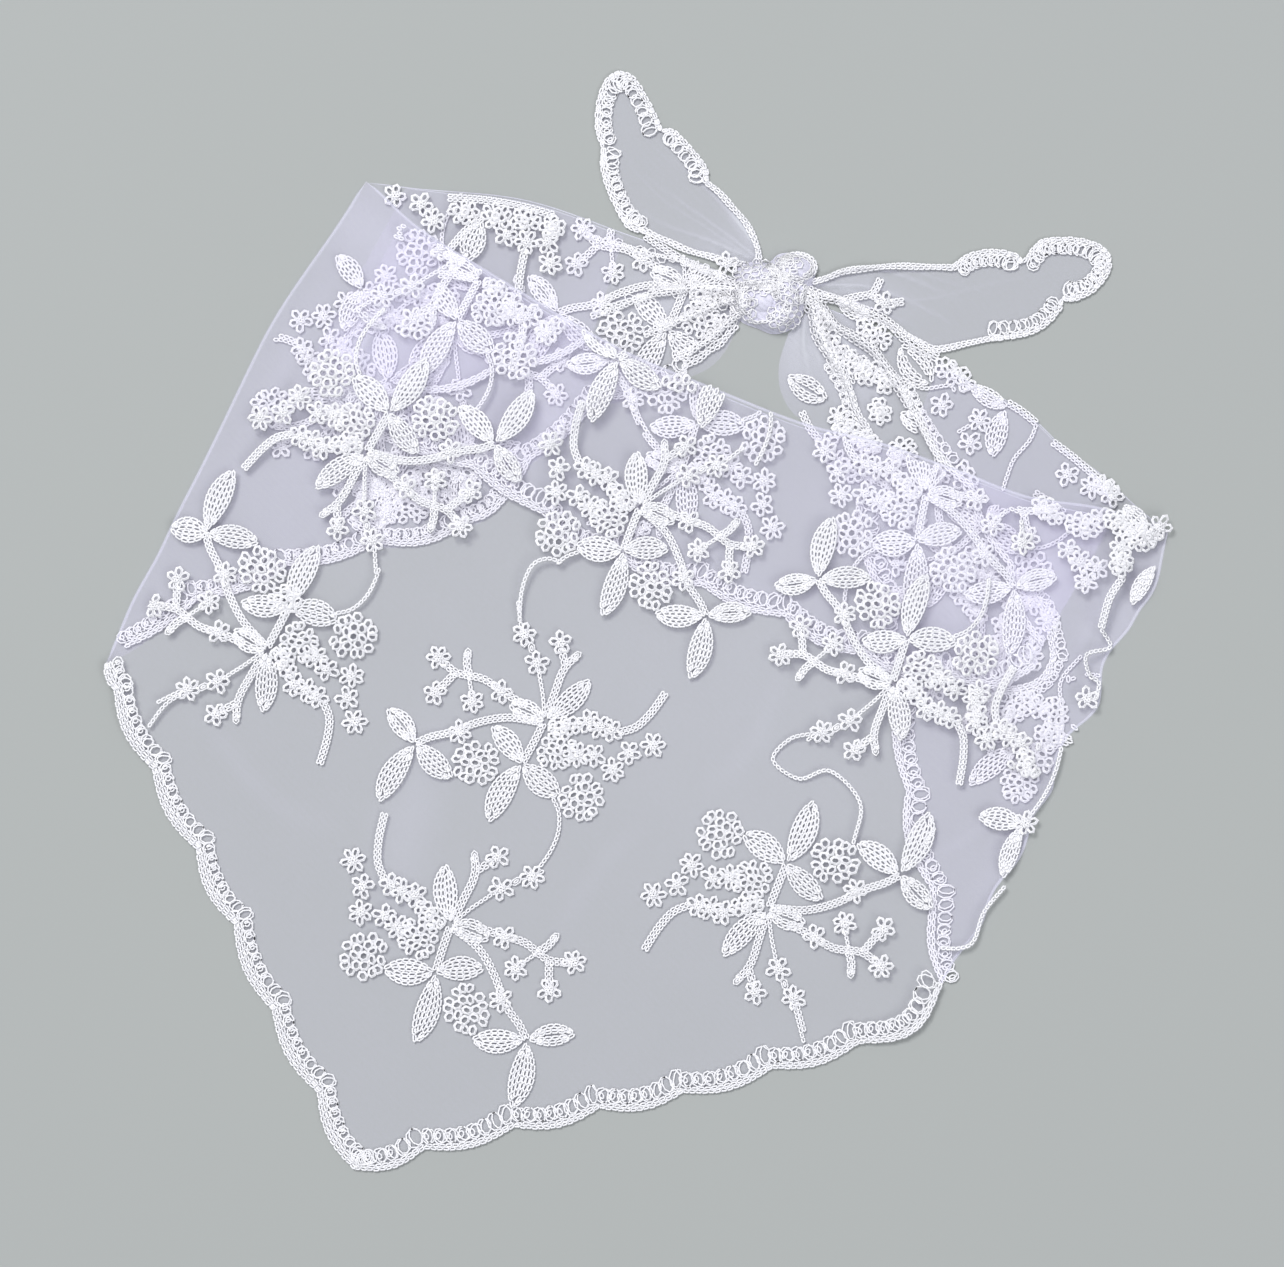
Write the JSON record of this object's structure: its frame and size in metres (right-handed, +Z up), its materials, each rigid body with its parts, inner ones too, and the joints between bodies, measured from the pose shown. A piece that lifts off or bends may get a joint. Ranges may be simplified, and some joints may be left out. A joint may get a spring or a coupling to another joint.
{
  "type": "triangle lace scarf",
  "caption": "Sheer net triangle scarf with chain-stitch lace sprays and a scalloped border, tied in a loop by a knot and laid flat.",
  "frame": {"origin": "on the surface the scarf lies on, under the middle of its bounding box", "axes": "+Z up out of the surface; +Y from the panel's point towards the knot; +X from the left fold towards the right fold, seen from above"},
  "size_m": [0.3512, 0.3636, 0.015],
  "materials": {
    "pale_net": "sheer matt net, faintly lavender white",
    "white_thread": "soft satin embroidery thread"
  },
  "bodies": {
    "root": {"back_left": "pale_net", "back_left_turn_in": "pale_net", "back_right": "pale_net", "back_right_turn_in": "pale_net", "front_turn_in": "pale_net", "front_panel": "pale_net", "tail_left": "pale_net", "tail_right": "pale_net", "back_left_border": "white_thread", "back_left_turn_in_border": "white_thread", "back_right_border": "white_thread", "back_right_turn_in_border": "white_thread", "front_turn_in_border": "white_thread", "front_panel_border": "white_thread", "tail_left_border": "white_thread", "tail_right_border": "white_thread", "knot": "white_thread"}
  },
  "joints": []
}
